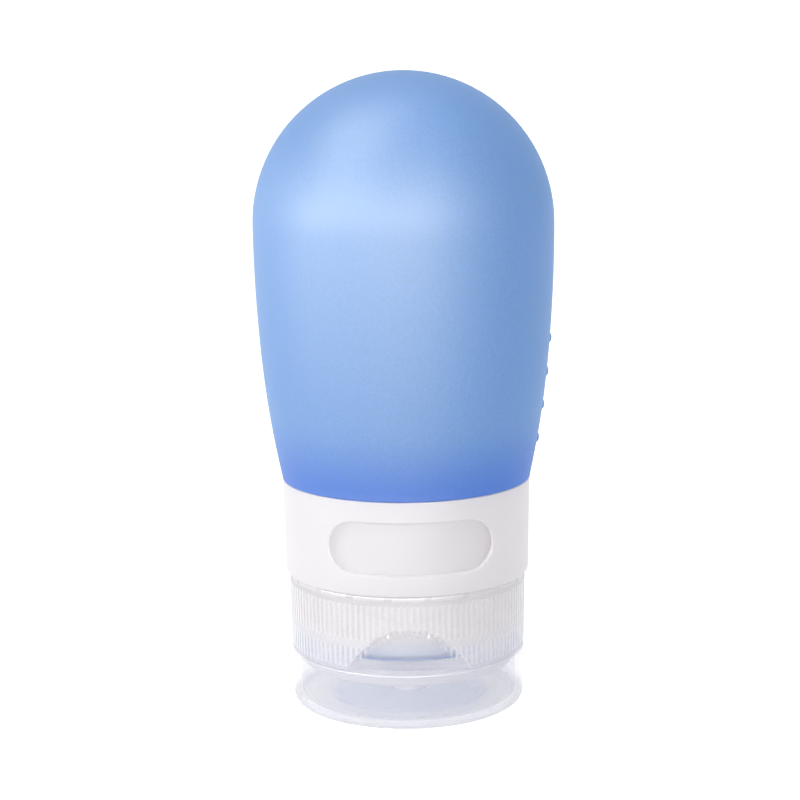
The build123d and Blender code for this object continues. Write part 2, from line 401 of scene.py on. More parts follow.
@dataclass(frozen=True)
class MouldSkin:
    """Fine texture that the tool's face leaves on a moulded piece: its grain, roughness and relief.

    A real tool's grain is finer than a pixel of the picture, so it is drawn as coarse as it needs to show.
    """

    grain: float
    least_rough: float
    most_rough: float
    bump: float
    relief: float = 0.01
    detail: float = 2.0

    def wire(self, tree: Tree, place: Socket) -> tuple[Socket, Socket, Socket]:
        """Adds the texture's nodes.

        Args:
            tree: Node tree of the material.
            place: Socket of the place on the piece.

        Returns:
            Sockets of the grain, of the roughness and of the normal.
        """
        grain = add_node(tree, "TexNoise", {"Scale": 1 / (self.grain * MM), "Detail": self.detail},
                         {"Vector": place}).outputs["Fac"]
        rough = add_node(tree, "MapRange", {**NOISE_SPREAD, "To Min": self.least_rough,
                                            "To Max": self.most_rough}, {"Value": grain})
        bump = add_node(tree, "Bump", {"Strength": self.bump, "Distance": self.relief * MM},
                        {"Height": grain})
        return grain, rough.outputs["Result"], bump.outputs["Normal"]


class Finish(ABC):
    """A finish that builds its material once and hands it out again."""

    name: str

    @abstractmethod
    def wire(self, tree: Tree) -> Socket:
        """Adds the finish's nodes.

        Args:
            tree: Node tree of the material.

        Returns:
            Socket of the surface.
        """

    def material(self) -> bpy.types.Material:
        """Makes the material at the first call and finds it again later.

        Returns:
            The finish's material.
        """
        made = bpy.data.materials.get(self.name)
        if made is None:
            made = bpy.data.materials.new(self.name)
            made.use_nodes = True
            made.node_tree.nodes.clear()
            surface = self.wire(made.node_tree)
            add_node(made.node_tree, "OutputMaterial", links={"Surface": surface})
        return made


@dataclass(frozen=True)
class BlastMouldedSilicone(Finish):
    """Liquid silicone rubber moulded against a blasted tool: matt, softly translucent, finely speckled.

    The blasted skin spreads highlights wide. Towards the shoulder the blue is painted deeper: partly for the
    thicker silicone there, and partly as painted shade where less light comes through the body and less sheen
    falls.
    """

    name: str = "liquid_silicone_blast_moulded"
    colour: str = "#649BDF"
    shaded_deep_colour: str = "#3076DE"
    shaded_deep_z: tuple[float, float] = (34.0, 46.0)
    speckle: tuple[float, float] = (0.93, 1.07)
    skin: MouldSkin = MouldSkin(0.28, 0.50, 0.58, bump=0.35, relief=0.02)
    ior: float = 1.43
    gloss: float = 1.0
    gloss_tint: Rgba = (1.0, 0.97, 0.8, 1.0)
    scatter: float = 1.0
    scatter_weight: float = 0.2
    scatter_shares: tuple[float, float, float] = (0.6, 1.2, 2.4)

    def wire(self, tree: Tree) -> Socket:
        """Adds the silicone's nodes.

        Args:
            tree: Node tree of the material.

        Returns:
            Socket of the surface.
        """
        place = add_node(tree, "TexCoord").outputs["Object"]
        grain, rough, normal = self.skin.wire(tree, place)
        # Painted shade: the blue deepens towards the shoulder, standing in for the light and sheen that fall
        # off there, and partly for the thicker silicone.
        colour = add_node(tree, "Mix", {"data_type": "RGBA", 6: linear(self.shaded_deep_colour),
                                        7: linear(self.colour)},
                          {"Factor": height_step(tree, place, *self.shaded_deep_z)}).outputs[2]
        shader = add_node(tree, "BsdfPrincipled",
                          {"IOR": self.ior, "Specular IOR Level": self.gloss,
                           "Specular Tint": self.gloss_tint, "Subsurface Weight": self.scatter_weight,
                           "Subsurface Radius": self.scatter_shares, "Subsurface Scale": self.scatter * MM},
                          {"Base Color": toned(tree, colour, grain, self.speckle), "Roughness": rough,
                           "Normal": normal})
        return shader.outputs["BSDF"]


@dataclass(frozen=True)
class WhitePolypropylene(Finish):
    """Pigmented polypropylene, injection moulded in a lightly eroded tool.

    Light spreads inside it and a part gets through its thin walls, which softens its edges and hollows.
    The eroded skin gives a wide soft shine.
    """

    name: str = "white_polypropylene_moulded"
    light_through: float = 0.75
    colour: str = "#F4F0F3"
    cloud: float = 9.0
    cloud_detail: float = 1.0
    cloud_tones: tuple[float, float] = (0.985, 1.01)
    skin: MouldSkin = MouldSkin(0.22, 0.38, 0.46, bump=0.12)
    ior: float = 1.49
    gloss: float = 0.6
    scatter: float = 1.6
    scatter_weight: float = 0.4
    scatter_shares: tuple[float, float, float] = (1.0, 1.0, 1.1)

    def wire(self, tree: Tree) -> Socket:
        """Adds the white plastic's nodes.

        Args:
            tree: Node tree of the material.

        Returns:
            Socket of the surface.
        """
        place = add_node(tree, "TexCoord").outputs["Object"]
        _, rough, normal = self.skin.wire(tree, place)
        cloud = add_node(tree, "TexNoise", {"Scale": 1 / (self.cloud * MM), "Detail": self.cloud_detail},
                         {"Vector": place}).outputs["Fac"]
        shader = add_node(tree, "BsdfPrincipled",
                          {"IOR": self.ior, "Specular IOR Level": self.gloss,
                           "Subsurface Weight": self.scatter_weight, "Subsurface Radius": self.scatter_shares,
                           "Subsurface Scale": self.scatter * MM},
                          {"Base Color": toned(tree, linear(self.colour), cloud, self.cloud_tones),
                           "Roughness": rough, "Normal": normal})
        passed = add_node(tree, "Math", {"operation": "MULTIPLY", 1: self.light_through},
                          {0: ray_is(tree, LIGHT_RAYS)})
        through = add_node(tree, "BsdfTransparent")
        surface = add_node(tree, "MixShader", links={0: passed.outputs[0], 1: shader.outputs["BSDF"],
                                                     2: through.outputs["BSDF"]})
        return surface.outputs["Shader"]


@dataclass(frozen=True)
class PaintedBlueCast:
    """Painted blue light on part of a milky piece, standing in for the blue that the blue parts nearby cast
    on it: between two heights and inside a radius.
    """

    colour: str
    share: float
    low: float
    high: float
    radius: float = 40.0
    inner_share: float = 0.6
    edge: float = 0.1

    def zone(self, tree: Tree, place: Socket) -> Socket:
        """Finds where the painted blue light lies.

        Args:
            tree: Node tree of the material.
            place: Socket of the place on the piece.

        Returns:
            Socket that is one inside the zone and nothing outside it.
        """
        flat = add_node(tree, "VectorMath", {"operation": "MULTIPLY", 1: (1.0, 1.0, 0.0)}, {0: place})
        reach = add_node(tree, "VectorMath", {"operation": "LENGTH"}, {0: flat.outputs[0]})
        zone = add_node(tree, "MapRange", {"interpolation_type": "SMOOTHSTEP",
                                           "From Min": self.radius * MM,
                                           "From Max": self.radius * self.inner_share * MM},
                        {"Value": reach.outputs["Value"]}).outputs["Result"]
        for start, end in ((self.low - self.edge, self.low), (self.high + self.edge, self.high)):
            zone = add_node(tree, "Math", {"operation": "MULTIPLY"},
                            {0: zone, 1: height_step(tree, place, start, end)}).outputs[0]
        return zone


@dataclass(frozen=True)
class MilkyPlastic(Finish):
    """Unpigmented polypropylene or silicone, moulded: milky, so part of the light goes on behind it.

    A thick place scatters more and reads whiter, and a polished one shows more of the inside. A share says
    how much of the surface is milk rather than clear. Light gets through a milky wall far better than sight
    does, so it meets only a part of that milk.
    """

    name: str = "frosted_polypropylene_moulded"
    low_blue_cast_colour: str = "#F1F1FA"
    high_colour: str = "#F4F1F3"
    low_share: float = 0.5
    high_share: float = 0.62
    low_z: float = 10.5
    high_z: float = 14.0
    thick_share: float = 0.96
    clear_share: float = 0.1
    uneven: float = 0.03
    glow_share: float = 0.06
    light_held_share: float = 0.18
    painted_blue_cast: PaintedBlueCast | None = None
    cloud: float = 3.0
    cloud_detail: float = 2.0
    cloud_tones: tuple[float, float] = (0.98, 1.01)
    skin: MouldSkin = MouldSkin(0.3, 0.32, 0.40, bump=0.15)
    polished_rough: float = 0.14
    ior: float = 1.49
    gloss: float = 1.0

    def wire(self, tree: Tree) -> Socket:
        """Adds the milky plastic's nodes.

        Args:
            tree: Node tree of the material.

        Returns:
            Socket of the surface.
        """
        place = add_node(tree, "TexCoord").outputs["Object"]
        texture, rough, normal = self.skin.wire(tree, place)
        polish = add_node(tree, "Attribute", {"attribute_name": "polish"}).outputs["Fac"]
        rough = add_node(tree, "Mix", {3: self.polished_rough}, {"Factor": polish, 2: rough}).outputs[0]
        rise = height_step(tree, place, self.low_z, self.high_z)
        # Painted blue cast: the lower part is tinted lavender for the gasket's blue light that shows through
        # the walls.
        colour = add_node(tree, "Mix", {"data_type": "RGBA", 6: linear(self.low_blue_cast_colour),
                                        7: linear(self.high_colour)}, {"Factor": rise}).outputs[2]
        levels = [(self.thickness(tree, place), self.thick_share), (polish, self.clear_share)]
        # Painted blue light: where the zone says, the cast's colour is mixed over the plastic's colour and
        # its milk share is set.
        if self.painted_blue_cast:
            zone = self.painted_blue_cast.zone(tree, place)
            levels.insert(0, (zone, self.painted_blue_cast.share))
            colour = add_node(tree, "Mix", {"data_type": "RGBA", 7: linear(self.painted_blue_cast.colour)},
                              {"Factor": zone, 6: colour}).outputs[2]
        cloud = add_node(tree, "TexNoise", {"Scale": 1 / (self.cloud * MM), "Detail": self.cloud_detail},
                         {"Vector": place}).outputs["Fac"]
        colour = toned(tree, colour, cloud, self.cloud_tones)
        skin = add_node(tree, "BsdfPrincipled", {"IOR": self.ior, "Specular IOR Level": self.gloss},
                        {"Base Color": colour, "Roughness": rough, "Normal": normal})
        glow = add_node(tree, "BsdfTranslucent", links={"Color": colour})
        milk = add_node(tree, "MixShader", {0: self.glow_share},
                        {1: skin.outputs["BSDF"], 2: glow.outputs["BSDF"]})
        through = add_node(tree, "BsdfTransparent")
        surface = add_node(tree, "MixShader", links={0: self.milk_share(tree, rise, texture, levels),
                                                     1: through.outputs["BSDF"],
                                                     2: milk.outputs["Shader"]})
        return surface.outputs["Shader"]

    # The thickness mark also carries painted highlights along the scoop's edge and the lid's rim.
    def thickness(self, tree: Tree, place: Socket) -> Socket:
        """Thickness of the plastic, from nothing to one, as the mesh's mark says it at each place."""
        return add_node(tree, "Attribute", {"attribute_name": "thickness"}).outputs["Fac"]

    def milk_share(self, tree: Tree, rise: Socket, texture: Socket,
                   levels: list[tuple[Socket, float]]) -> Socket:
        """Share of the surface that is milk, by height and by what each place is.

        Args:
            tree: Node tree of the material.
            rise: Socket that is one above high_z and nothing below low_z.
            texture: Socket of the fine texture.
            levels: How much of each kind a place is, with that kind's share, the last one strongest.

        Returns:
            Socket of the share.
        """
        share = add_node(tree, "Mix", {2: self.low_share, 3: self.high_share}, {"Factor": rise}).outputs[0]
        for factor, level in levels:
            share = add_node(tree, "Mix", {3: level}, {"Factor": factor, 2: share}).outputs[0]
        uneven = add_node(tree, "MapRange", {**NOISE_SPREAD, "To Min": -self.uneven,
                                             "To Max": self.uneven}, {"Value": texture})
        share = add_node(tree, "Math", {"operation": "ADD", "use_clamp": True},
                         {0: share, 1: uneven.outputs["Result"]})
        held = add_node(tree, "MapRange", {"To Min": 1.0, "To Max": self.light_held_share},
                        {"Value": ray_is(tree, LIGHT_RAYS)})
        return add_node(tree, "Math", {"operation": "MULTIPLY"},
                        {0: share.outputs[0], 1: held.outputs["Result"]}).outputs[0]


@dataclass(frozen=True)
class RibbedMilkyPlastic(MilkyPlastic):
    """Milky polypropylene with fine ribs moulded inside: each rib doubles the wall and reads white."""

    rib_count: int = 120
    rib_pitch_share: float = 0.5
    rib_edge_share: float = 0.1
    rib_rows: tuple[tuple[float, float], ...] = ((9.3, 12.3), (13.5, 18.7))
    row_edge: float = 0.12
    between_thickness: float = 0.45

    def thickness(self, tree: Tree, place: Socket) -> Socket:
        """Adds the ribs to the thickness that the mesh says, and a plain thicker band between their rows.

        Args:
            tree: Node tree of the material.
            place: Socket of the place on the piece.

        Returns:
            Socket of the thickness, from nothing to one.
        """
        scoop = add_node(tree, "Attribute", {"attribute_name": "scoop"})
        outside = add_node(tree, "Math", {"operation": "SUBTRACT", 0: 1.0}, {1: scoop.outputs["Fac"]})
        rib = self.ribs(tree, place)
        (_, band_low), (band_high, _) = self.rib_rows
        level = super().thickness(tree, place)
        for low, high, pattern in (*((*row, rib) for row in self.rib_rows), (band_low, band_high, None)):
            share = outside.outputs[0]
            for factor in (height_step(tree, place, low - self.row_edge, low),
                           height_step(tree, place, high + self.row_edge, high), pattern):
                fixed, fed = ({1: self.between_thickness}, {}) if factor is None else ({}, {1: factor})
                share = add_node(tree, "Math", {"operation": "MULTIPLY", **fixed},
                                 {0: share, **fed}).outputs[0]
            level = add_node(tree, "Math", {"operation": "MAXIMUM"}, {0: level, 1: share}).outputs[0]
        return level

    def ribs(self, tree: Tree, place: Socket) -> Socket:
        """Stripes round the axis, one to each rib.

        Args:
            tree: Node tree of the material.
            place: Socket of the place on the piece.

        Returns:
            Socket that is one on a rib and nothing between two.
        """
        parts = add_node(tree, "SeparateXYZ", links={"Vector": place}).outputs
        back = add_node(tree, "Math", {"operation": "MULTIPLY", 1: -1.0}, {0: parts["Y"]})
        angle = add_node(tree, "Math", {"operation": "ARCTAN2"}, {0: parts["X"], 1: back.outputs[0]})
        count = add_node(tree, "Math", {"operation": "MULTIPLY", 1: self.rib_count / math.tau},
                         {0: angle.outputs[0]})
        away = add_node(tree, "Math", {"operation": "PINGPONG", 1: 0.5}, {0: count.outputs[0]})
        middle = (1 - self.rib_pitch_share) / 2
        return add_node(tree, "MapRange", {"interpolation_type": "SMOOTHSTEP",
                                           "From Min": middle - self.rib_edge_share / 2,
                                           "From Max": middle + self.rib_edge_share / 2},
                        {"Value": away.outputs[0]}).outputs["Result"]


@dataclass(frozen=True)
class SealSilicone(Finish):
    """Moulded silicone of the cup gasket: satin blue, with a thin lip that lets light through, so paler."""

    name: str = "seal_silicone_moulded"
    colour: str = "#AFC8EC"
    lip_colour: str = "#E2E6F2"
    lip_z: tuple[float, float] = (10.3, 11.0)
    skin: MouldSkin = MouldSkin(0.4, 0.38, 0.46, bump=0.1)
    ior: float = 1.43
    gloss: float = 1.0

    def wire(self, tree: Tree) -> Socket:
        """Adds the gasket's nodes.

        Args:
            tree: Node tree of the material.

        Returns:
            Socket of the surface.
        """
        place = add_node(tree, "TexCoord").outputs["Object"]
        _, rough, normal = self.skin.wire(tree, place)
        colour = add_node(tree, "Mix", {"data_type": "RGBA", 6: linear(self.colour),
                                        7: linear(self.lip_colour)},
                          {"Factor": height_step(tree, place, *self.lip_z)})
        shader = add_node(tree, "BsdfPrincipled", {"IOR": self.ior, "Specular IOR Level": self.gloss},
                          {"Base Color": colour.outputs[2], "Roughness": rough, "Normal": normal})
        return shader.outputs["BSDF"]


@dataclass(frozen=True)
class StudioPaper(Finish):
    """Seamless white paper: it shows white to the camera and still takes the bottle's soft shadow."""

    name: str = "studio_paper"
    colour: str = "#F4F4F4"
    lift: float = 0.62

    def wire(self, tree: Tree) -> Socket:
        """Adds the paper's nodes.

        Args:
            tree: Node tree of the material.

        Returns:
            Socket of the surface.
        """
        lift = add_node(tree, "Math", {"operation": "MULTIPLY", 1: self.lift}, {0: ray_is(tree, SEEN_RAYS)})
        paper = add_node(tree, "BsdfDiffuse", {"Color": linear(self.colour)})
        light = add_node(tree, "Emission", links={"Strength": lift.outputs[0]})
        both = add_node(tree, "AddShader", links={0: paper.outputs["BSDF"], 1: light.outputs["Emission"]})
        return both.outputs["Shader"]


@dataclass(frozen=True)
class Softbox:
    """A rectangular lamp that faces the bottle; angles in degrees, lengths in metres."""

    name: str
    azimuth: float
    elevation: float
    distance: float
    width: float
    height: float
    radiance: float
    in_gloss: bool = True
    in_diffuse: bool = True

    def place(self, aim: Vector) -> None:
        """Adds the lamp, pointed at aim.

        Args:
            aim: Point that the lamp faces, in metres.
        """
        lamp = bpy.data.lights.new(self.name, "AREA")
        lamp.shape = "RECTANGLE"
        lamp.size, lamp.size_y = self.width, self.height
        lamp.energy = self.radiance * math.pi * self.width * self.height
        holder = bpy.data.objects.new(self.name, lamp)
        bpy.context.scene.collection.objects.link(holder)
        level = math.radians(self.elevation)
        back = turn(self.azimuth) * math.cos(level) + Vector((0, 0, math.sin(level)))
        holder.location = aim + back * self.distance
        holder.rotation_euler = back.to_track_quat("Z", "Y").to_euler()
        holder.visible_camera = False
        holder.visible_glossy = self.in_gloss
        holder.visible_diffuse = self.in_diffuse


@dataclass(frozen=True)
class Studio:
    """Floor, soft light and the camera at the photograph's viewing angle."""

    aim_x: float = -0.809
    aim_z: float = 45.670
    distance: float = 340.0
    tilt: float = 10.776
    roll: float = 0.686
    lens: float = 102.85
    clip: tuple[float, float] = (0.01, 100.0)
    floor_half: float = 12.0
    floor_gap: float = 0.02
    world_diffuse: float = 0.86
    world_seen: float = 1.0
    clear_bounces: int = 64
    bounces: int = 24
    diffuse_bounces: int = 10
    lamps: tuple[Softbox, ...] = (
        Softbox("key_softbox", -60, 25, 0.60, 0.50, 0.50, 1.2, in_gloss=False),
        Softbox("fill_softbox", 65, 20, 0.60, 0.50, 0.50, 0.15, in_gloss=False),
        Softbox("front_softbox", 0, 55, 0.60, 0.50, 0.40, 0.15, in_gloss=False),
        Softbox("low_shine_far_left", -75, 8, 0.55, 0.30, 0.22, 12.8, in_diffuse=False),
        Softbox("low_shine_left", -45, 8, 0.55, 0.30, 0.22, 8.0, in_diffuse=False),
        Softbox("low_shine_front", -15, 8, 0.55, 0.30, 0.22, 14.0, in_diffuse=False),
        Softbox("low_shine_right", 15, 8, 0.55, 0.30, 0.22, 13.2, in_diffuse=False),
        Softbox("low_shine_far_right", 45, 8, 0.55, 0.30, 0.22, 3.2, in_diffuse=False),
        Softbox("mid_shine_left", -45, 32, 0.55, 0.30, 0.24, 8.4, in_diffuse=False),
        Softbox("mid_shine_right", 15, 32, 0.55, 0.30, 0.24, 4.8, in_diffuse=False),
        Softbox("high_shine_left", -75, 60, 0.55, 0.30, 0.28, 8.0, in_diffuse=False),
        Softbox("high_shine_right", 45, 60, 0.55, 0.30, 0.28, 2.4, in_diffuse=False),
        Softbox("rear_shine_left", -118, 10, 0.55, 0.30, 0.30, 2.0, in_diffuse=False),
        Softbox("top_shine", 0, 88, 0.55, 0.40, 0.30, 2.8, in_diffuse=False),
    )

    def build(self) -> None:
        """Makes the camera, the floor, the world and the lamps."""
        self.place_camera()
        self.lay_floor()
        self.light_world()
        aim = Vector((0, 0, self.aim_z * MM))
        for lamp in self.lamps:
            lamp.place(aim)
        scene = bpy.context.scene
        scene.view_settings.view_transform = "Standard"
        scene.cycles.transparent_max_bounces = self.clear_bounces
        scene.cycles.max_bounces = self.bounces
        scene.cycles.diffuse_bounces = self.diffuse_bounces

    def place_camera(self) -> None:
        """Sets the camera up as the photograph was taken."""
        tilt, roll = math.radians(self.tilt), math.radians(self.roll)
        forward = Vector((0, math.cos(tilt), -math.sin(tilt)))
        level_up = Vector((0, math.sin(tilt), math.cos(tilt)))
        level_right = Vector((1, 0, 0))
        right = level_right * math.cos(roll) - level_up * math.sin(roll)
        up = level_right * math.sin(roll) + level_up * math.cos(roll)
        place = Vector((self.aim_x, 0, self.aim_z)) - forward * self.distance
        data = bpy.data.cameras.new("camera")
        data.lens = self.lens
        data.clip_start, data.clip_end = self.clip
        camera = bpy.data.objects.new("camera", data)
        bpy.context.scene.collection.objects.link(camera)
        rows = [[right[i], up[i], -forward[i], place[i] * MM] for i in range(3)]
        camera.matrix_world = Matrix([*rows, [0, 0, 0, 1]])
        bpy.context.scene.camera = camera

    def lay_floor(self) -> None:
        """Lays the paper floor just under the lid."""
        half = self.floor_half
        mesh = bpy.data.meshes.new("floor")
        corners = [(-half, -half, 0), (half, -half, 0), (half, half, 0), (-half, half, 0)]
        mesh.from_pydata(corners, [], [(0, 1, 2, 3)])
        mesh.materials.append(StudioPaper().material())
        floor = new_object("floor", mesh)
        floor.location.z = -self.floor_gap * MM

    def light_world(self) -> None:
        """Gives the world an even light, and white where it is seen or mirrored."""
        world = bpy.data.worlds.new("studio")
        bpy.context.scene.world = world
        world.use_nodes = True
        tree = world.node_tree
        tree.nodes.clear()
        strength = add_node(tree, "MapRange", {"To Min": self.world_diffuse, "To Max": self.world_seen},
                            {"Value": ray_is(tree, SEEN_RAYS)})
        light = add_node(tree, "Background", links={"Strength": strength.outputs["Result"]})
        add_node(tree, "OutputWorld", links={"Surface": light.outputs["Background"]})


@dataclass(frozen=True)
class SubAssembly(ABC):
    """Pieces that are built and dressed together."""

    @abstractmethod
    def build(self) -> list[Piece]:
        """Makes the pieces.

        Returns:
            The pieces, dressed and on their bodies.
        """

    @staticmethod
    def dress(piece: Piece, finish: Finish, body: Body, slot: Slot, *nodes: str) -> Piece:
        """Gives a new piece its finish, its body and the nodes that it stands for.

        Args:
            piece: The new piece.
            finish: Finish of its surface.
            body: Body that it moves with.
            slot: The record's slot for its finish; not used.
            nodes: CAD nodes that it replaces.

        Returns:
            The piece.
        """
        piece.data.materials.clear()
        piece.data.materials.append(finish.material())
        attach(piece, body.value)
        if nodes:
            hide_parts(*nodes)
        return piece

    @staticmethod
    def dress_node(node: str, finish: Finish, slot: Slot) -> Piece:
        """Gives a CAD node that stays its finish.

        Args:
            node: Name of the node.
            finish: Finish of its surface.
            slot: The record's slot for its finish; not used.

        Returns:
            The node's object.
        """
        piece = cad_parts[node]
        made = finish.material()
        if not piece.material_slots:
            piece.data.materials.append(made)
        for place in piece.material_slots:
            place.material = made
        return piece


@cache
def height_of(node: str, top: bool) -> float:
    """Highest or lowest point of a CAD node, in millimetres."""
    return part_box(node)[1 if top else 0].z / MM


@dataclass(frozen=True)
class SqueezeBody(SubAssembly):
    """The domed silicone body with its neck skin and the raised fill marks on the right."""

    dome_radius: float = 22.1
    flank_radius: float = 220.0
    flank_joint_share: float = 0.5372
    shoulder_radius: float = 18.5
    wall: float = 2.0
    shoulder_thick: float = 2.9
    neck_in: float = 12.25
    neck_skin: float = 2.6
    ring_in: float = 15.75
    rim_in: float = 17.1
    bead: float = 2.5
    throat_z: float = 33.8
    edge: float = 0.1
    neck_round: float = 0.3
    mouth_round: float = 0.2
    throat_round: float = 1.0
    rim_drop: float = 0.2
    mark_count: int = 4
    mark_rise: float = 5.4
    mark_step: float = 5.0
    mark_width: float = 4.0
    mark_bar: float = 0.9
    mark_height: float = 0.24
    mark_edge: float = 0.4
    mark_angle: float = 90.0
    fine_step: float = 0.13
    row_step: float = 1.1
    dome_rows: int = 26
    inner_rows: int = 17
    inner_dome_rows: int = 16
    column_count: int = 132

    @property
    def shoulder_z(self) -> float:
        """Height of the shoulder, which rests on the contents ring."""
        return height_of("contents_ring", True)

    @property
    def dome_z(self) -> float:
        """Height of the dome's equator."""
        return height_of("silicone_body", True) - self.dome_radius

    def flank(self, z: np.ndarray) -> np.ndarray:
        """Outer radius of the flank: two arcs that meet smoothly.

        Args:
            z: Heights in millimetres.

        Returns:
            The radius at each height.
        """
        joint_z = self.dome_z - self.flank_joint_share * (self.dome_z - self.shoulder_z)
        base = self.dome_radius - self.flank_radius
        upper = base + np.sqrt(self.flank_radius ** 2 - (self.dome_z - z) ** 2)
        joint_r = base + math.sqrt(self.flank_radius ** 2 - (self.dome_z - joint_z) ** 2)
        normal = Vector((joint_r - base, joint_z - self.dome_z)).normalized()
        chord = Vector((self.shoulder_radius - joint_r, self.shoulder_z - joint_z))
        radius = chord.length_squared / (-2 * chord.dot(normal))
        centre = Vector((joint_r, joint_z)) - normal * radius
        lower = centre.x + math.copysign(1, radius) * np.sqrt(radius ** 2 - (z - centre.y) ** 2)
        return np.where(z >= joint_z, upper, lower)

    def mark_heights(self) -> list[float]:
        """Heights of the fill marks' middles."""
        return [self.shoulder_z + self.mark_rise + mark * self.mark_step for mark in range(self.mark_count)]

    def rows(self) -> np.ndarray:
        """Places the flank's rows, close together at the fill marks.

        Returns:
            Their heights from the dome down.
        """
        low, high = self.shoulder_z + self.edge, self.dome_z
        heights = list(np.linspace(low, high, round((high - low) / self.row_step) + 1))
        reach = self.mark_bar / 2 + self.mark_edge
        for centre in self.mark_heights():
            heights = [z for z in heights if abs(z - centre) > reach + self.fine_step]
            fine = round(2 * reach / self.fine_step)
            heights += list(np.linspace(centre - reach, centre + reach, fine + 1))
        return np.array(sorted(heights, reverse=True))

    def columns(self) -> np.ndarray:
        """Places the columns, close together at the fill marks.

        Returns:
            Their angles in degrees.
        """
        reach = math.degrees((self.mark_width / 2 + self.mark_edge) / self.dome_radius)
        fine = round(2 * reach / math.degrees(self.fine_step / self.dome_radius))
        close = self.mark_angle + np.linspace(-reach, reach, fine + 1)
        wide = self.mark_angle + np.linspace(reach, 360 - reach, self.column_count + 1)[1:-1]
        return np.concatenate([close, wide])

    def marks(self, angle: np.ndarray, height: np.ndarray) -> np.ndarray:
        """How far the fill marks stand out of the flank.

        Args:
            angle: Angle of each point in degrees.
            height: Its height in millimetres.

        Returns:
            The height of the mark above the flank at each point.
        """
        across = np.abs(np.radians(angle - self.mark_angle)) * self.flank(height)
        half_width, half_bar, soft = self.mark_width / 2, self.mark_bar / 2, self.mark_edge / 2
        side = 1 - smooth_step(across, half_width - soft, half_width + soft)
        raised = np.zeros_like(height)
        for centre in self.mark_heights():
            raised += 1 - smooth_step(np.abs(height - centre), half_bar - soft, half_bar + soft)
        return raised * side * self.mark_height

    def outline(self) -> tuple[Outline, int, int]:
        """Outline from the dome's crown down the outside and up the inside.

        Returns:
            The points, and the numbers of the first and the last row of the flank.
        """
        dome = arc_points((0.0, self.dome_z), self.dome_radius, 90, 0, self.dome_rows)[:-1]
        rows = self.rows()
        flank = list(zip(self.flank(rows), rows))
        neck_out = self.neck_in + self.neck_skin
        flange_z = height_of("silicone_body", False)
        bead_z = flange_z + self.bead
        throat_top = self.shoulder_z + self.shoulder_thick
        rim_z = self.shoulder_z - self.rim_drop
        turned_in = rounded([
            flank[-1],
            (self.shoulder_radius, rim_z, self.edge),
            (self.rim_in, rim_z, self.edge / 2),
            (self.rim_in, self.shoulder_z, self.edge / 2),
            (neck_out, self.shoulder_z, self.neck_round),
            (neck_out, bead_z + self.bead / 2, self.neck_round),
            (self.ring_in, bead_z, self.neck_round),
            (self.ring_in, flange_z, self.mouth_round),
            (self.neck_in, flange_z, self.mouth_round),
            (self.neck_in, self.throat_z, self.throat_round),
            (float(self.flank(np.array(throat_top))) - self.wall, throat_top, self.throat_round),
            (self.dome_radius - self.wall, self.dome_z - self.row_step),
        ])[1:-1]
        inner_rows = np.linspace(turned_in[-1][1], self.dome_z, self.inner_rows + 1)[1:]
        inner = list(zip(self.flank(inner_rows) - self.wall, inner_rows))
        inner_radius = self.dome_radius - self.wall
        inner_dome = arc_points((0.0, self.dome_z), inner_radius, 0, 90, self.inner_dome_rows)[1:]
        points = [*dome, *flank, *turned_in, *inner, *inner_dome]
        return points, len(dome), len(dome) + len(flank)

    def build(self) -> list[Piece]:
        """Makes the silicone body.

        Returns:
            The body.
        """
        points, first, last = self.outline()
        grid = PolarMesh.turned(points, self.columns(), capped=True)
        band = slice(first, last)
        grid.radius[band] += self.marks(grid.angle[band], grid.height[band])
        piece = new_object("squeeze_body", grid.mesh("squeeze_body"))
        return [self.dress(piece, BlastMouldedSilicone(), Body.BOTTLE, Slot.SILICONE, "silicone_body")]


